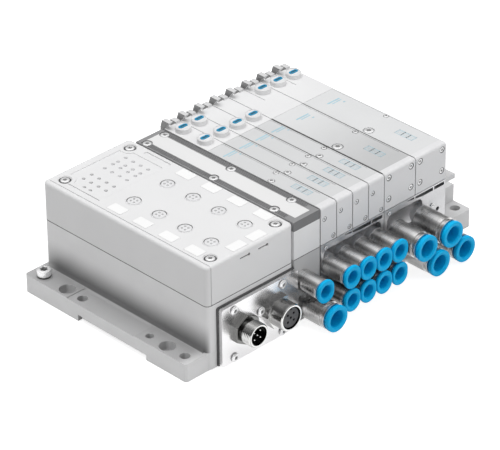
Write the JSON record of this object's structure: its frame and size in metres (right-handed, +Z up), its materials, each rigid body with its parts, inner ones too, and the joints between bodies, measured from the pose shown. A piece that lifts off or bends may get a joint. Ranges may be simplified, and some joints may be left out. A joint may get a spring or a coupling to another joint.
{
  "type": "pneumatic valve island",
  "caption": "Pneumatic valve island with a bus electronics block, narrow and wide valves, push-in fittings, manual overrides and mounting feet.",
  "frame": {"origin": "centre of the four mounting holes in the feet, at the level of the feet's undersides", "axes": "+X along the row from the electronics block to the end plate, +Y from the connection side to the back, +Z up"},
  "size_m": [0.1876, 0.1295, 0.0583],
  "materials": {
    "cast_grey": "satin",
    "cover_grey": "satin",
    "black_plastic": "satin",
    "block_aluminium": "satin",
    "valve_grey": "satin",
    "cap_grey": "satin",
    "pilot_white": "satin",
    "label_white": "satin",
    "window_clear": "gloss",
    "nickel": "gloss",
    "steel": "satin",
    "ring_blue": "gloss",
    "board_green": "satin",
    "gasket_black": "matte"
  },
  "bodies": {
    "island": {"circuit_board": "board_green", "connector_panel": "steel", "earth_screw": "steel", "electronics_base": "cast_grey", "electronics_cover": "cover_grey", "end_plate": "cast_grey", "fitting_bodies_6mm": "nickel", "fitting_bodies_8mm": "nickel", "housing_screws": "steel", "label_frame": "black_plastic", "label_plates": "label_white", "light_pipes": "window_clear", "override_collars": "pilot_white", "panel_gasket": "gasket_black", "pilot_units": "pilot_white", "plug_insert": "black_plastic", "plug_shell": "nickel", "sensor_sockets": "cap_grey", "small_screws": "steel", "socket_insert": "black_plastic", "socket_shell": "nickel", "subbase_narrow": "block_aluminium", "subbase_wide": "block_aluminium", "supply_block": "cast_grey", "valve_body_1": "valve_grey", "valve_body_2": "valve_grey", "valve_body_3": "valve_grey", "valve_body_4": "valve_grey", "valve_body_5": "valve_grey", "valve_body_6": "valve_grey", "valve_end_caps": "cap_grey"},
    "override_plunger_1_body": {"override_plunger_1": "ring_blue"},
    "override_plunger_2_body": {"override_plunger_2": "ring_blue"},
    "override_plunger_3_body": {"override_plunger_3": "ring_blue"},
    "override_plunger_4_body": {"override_plunger_4": "ring_blue"},
    "override_plunger_5_body": {"override_plunger_5": "ring_blue"},
    "override_plunger_6_body": {"override_plunger_6": "ring_blue"},
    "override_plunger_7_body": {"override_plunger_7": "ring_blue"},
    "override_plunger_8_body": {"override_plunger_8": "ring_blue"},
    "override_plunger_9_body": {"override_plunger_9": "ring_blue"},
    "release_ring_large_1_body": {"release_ring_large_1": "ring_blue"},
    "release_ring_large_2_body": {"release_ring_large_2": "ring_blue"},
    "release_ring_large_3_body": {"release_ring_large_3": "ring_blue"},
    "release_ring_large_4_body": {"release_ring_large_4": "ring_blue"},
    "release_ring_large_5_body": {"release_ring_large_5": "ring_blue"},
    "release_ring_small_1_body": {"release_ring_small_1": "ring_blue"},
    "release_ring_small_2_body": {"release_ring_small_2": "ring_blue"},
    "release_ring_small_3_body": {"release_ring_small_3": "ring_blue"},
    "release_ring_small_4_body": {"release_ring_small_4": "ring_blue"},
    "release_ring_small_5_body": {"release_ring_small_5": "ring_blue"},
    "release_ring_small_6_body": {"release_ring_small_6": "ring_blue"},
    "release_ring_small_7_body": {"release_ring_small_7": "ring_blue"},
    "release_ring_small_8_body": {"release_ring_small_8": "ring_blue"},
    "release_ring_small_9_body": {"release_ring_small_9": "ring_blue"},
    "spool_1_body": {"spool_1": "block_aluminium"},
    "spool_2_body": {"spool_2": "block_aluminium"},
    "spool_3_body": {"spool_3": "block_aluminium"},
    "spool_4_body": {"spool_4": "block_aluminium"},
    "spool_5_body": {"spool_5": "block_aluminium"},
    "spool_6_body": {"spool_6": "block_aluminium"}
  },
  "joints": [
    {"name": "override_plunger_1_push", "type": "slide", "parent": "island", "child": "override_plunger_1_body", "axis": [0, 0, -1], "range_m": [0, 0.001], "stiffness_N_per_m": 300, "springref_m": -0.001},
    {"name": "override_plunger_2_push", "type": "slide", "parent": "island", "child": "override_plunger_2_body", "axis": [0, 0, -1], "range_m": [0, 0.001], "stiffness_N_per_m": 300, "springref_m": -0.001},
    {"name": "override_plunger_3_push", "type": "slide", "parent": "island", "child": "override_plunger_3_body", "axis": [0, 0, -1], "range_m": [0, 0.001], "stiffness_N_per_m": 300, "springref_m": -0.001},
    {"name": "override_plunger_4_push", "type": "slide", "parent": "island", "child": "override_plunger_4_body", "axis": [0, 0, -1], "range_m": [0, 0.001], "stiffness_N_per_m": 300, "springref_m": -0.001},
    {"name": "override_plunger_5_push", "type": "slide", "parent": "island", "child": "override_plunger_5_body", "axis": [0, 0, -1], "range_m": [0, 0.001], "stiffness_N_per_m": 300, "springref_m": -0.001},
    {"name": "override_plunger_6_push", "type": "slide", "parent": "island", "child": "override_plunger_6_body", "axis": [0, 0, -1], "range_m": [0, 0.001], "stiffness_N_per_m": 300, "springref_m": -0.001},
    {"name": "override_plunger_7_push", "type": "slide", "parent": "island", "child": "override_plunger_7_body", "axis": [0, 0, -1], "range_m": [0, 0.001], "stiffness_N_per_m": 300, "springref_m": -0.001},
    {"name": "override_plunger_8_push", "type": "slide", "parent": "island", "child": "override_plunger_8_body", "axis": [0, 0, -1], "range_m": [0, 0.001], "stiffness_N_per_m": 300, "springref_m": -0.001},
    {"name": "override_plunger_9_push", "type": "slide", "parent": "island", "child": "override_plunger_9_body", "axis": [0, 0, -1], "range_m": [0, 0.001], "stiffness_N_per_m": 300, "springref_m": -0.001},
    {"name": "release_ring_large_1_push", "type": "slide", "parent": "island", "child": "release_ring_large_1_body", "axis": [0, 1, 0], "range_m": [0, 0.001], "stiffness_N_per_m": 300, "springref_m": -0.001},
    {"name": "release_ring_large_2_push", "type": "slide", "parent": "island", "child": "release_ring_large_2_body", "axis": [0, 1, 0], "range_m": [0, 0.001], "stiffness_N_per_m": 300, "springref_m": -0.001},
    {"name": "release_ring_large_3_push", "type": "slide", "parent": "island", "child": "release_ring_large_3_body", "axis": [0, 1, 0], "range_m": [0, 0.001], "stiffness_N_per_m": 300, "springref_m": -0.001},
    {"name": "release_ring_large_4_push", "type": "slide", "parent": "island", "child": "release_ring_large_4_body", "axis": [0, 1, 0], "range_m": [0, 0.001], "stiffness_N_per_m": 300, "springref_m": -0.001},
    {"name": "release_ring_large_5_push", "type": "slide", "parent": "island", "child": "release_ring_large_5_body", "axis": [0, 1, 0], "range_m": [0, 0.001], "stiffness_N_per_m": 300, "springref_m": -0.001},
    {"name": "release_ring_small_1_push", "type": "slide", "parent": "island", "child": "release_ring_small_1_body", "axis": [0, 1, 0], "range_m": [0, 0.001], "stiffness_N_per_m": 300, "springref_m": -0.001},
    {"name": "release_ring_small_2_push", "type": "slide", "parent": "island", "child": "release_ring_small_2_body", "axis": [0, 1, 0], "range_m": [0, 0.001], "stiffness_N_per_m": 300, "springref_m": -0.001},
    {"name": "release_ring_small_3_push", "type": "slide", "parent": "island", "child": "release_ring_small_3_body", "axis": [0, 1, 0], "range_m": [0, 0.001], "stiffness_N_per_m": 300, "springref_m": -0.001},
    {"name": "release_ring_small_4_push", "type": "slide", "parent": "island", "child": "release_ring_small_4_body", "axis": [0, 1, 0], "range_m": [0, 0.001], "stiffness_N_per_m": 300, "springref_m": -0.001},
    {"name": "release_ring_small_5_push", "type": "slide", "parent": "island", "child": "release_ring_small_5_body", "axis": [0, 1, 0], "range_m": [0, 0.001], "stiffness_N_per_m": 300, "springref_m": -0.001},
    {"name": "release_ring_small_6_push", "type": "slide", "parent": "island", "child": "release_ring_small_6_body", "axis": [0, 1, 0], "range_m": [0, 0.001], "stiffness_N_per_m": 300, "springref_m": -0.001},
    {"name": "release_ring_small_7_push", "type": "slide", "parent": "island", "child": "release_ring_small_7_body", "axis": [0, 1, 0], "range_m": [0, 0.001], "stiffness_N_per_m": 300, "springref_m": -0.001},
    {"name": "release_ring_small_8_push", "type": "slide", "parent": "island", "child": "release_ring_small_8_body", "axis": [0, 1, 0], "range_m": [0, 0.001], "stiffness_N_per_m": 300, "springref_m": -0.001},
    {"name": "release_ring_small_9_push", "type": "slide", "parent": "island", "child": "release_ring_small_9_body", "axis": [0, 1, 0], "range_m": [0, 0.001], "stiffness_N_per_m": 300, "springref_m": -0.001},
    {"name": "spool_1_shift", "type": "slide", "parent": "island", "child": "spool_1_body", "axis": [0, 1, 0], "range_m": [0, 0.002]},
    {"name": "spool_2_shift", "type": "slide", "parent": "island", "child": "spool_2_body", "axis": [0, 1, 0], "range_m": [0, 0.002]},
    {"name": "spool_3_shift", "type": "slide", "parent": "island", "child": "spool_3_body", "axis": [0, 1, 0], "range_m": [0, 0.002], "stiffness_N_per_m": 400, "springref_m": -0.002},
    {"name": "spool_4_shift", "type": "slide", "parent": "island", "child": "spool_4_body", "axis": [0, 1, 0], "range_m": [0, 0.002], "stiffness_N_per_m": 400, "springref_m": -0.002},
    {"name": "spool_5_shift", "type": "slide", "parent": "island", "child": "spool_5_body", "axis": [0, 1, 0], "range_m": [0, 0.003], "stiffness_N_per_m": 400, "springref_m": -0.002},
    {"name": "spool_6_shift", "type": "slide", "parent": "island", "child": "spool_6_body", "axis": [0, 1, 0], "range_m": [0, 0.003]}
  ]
}
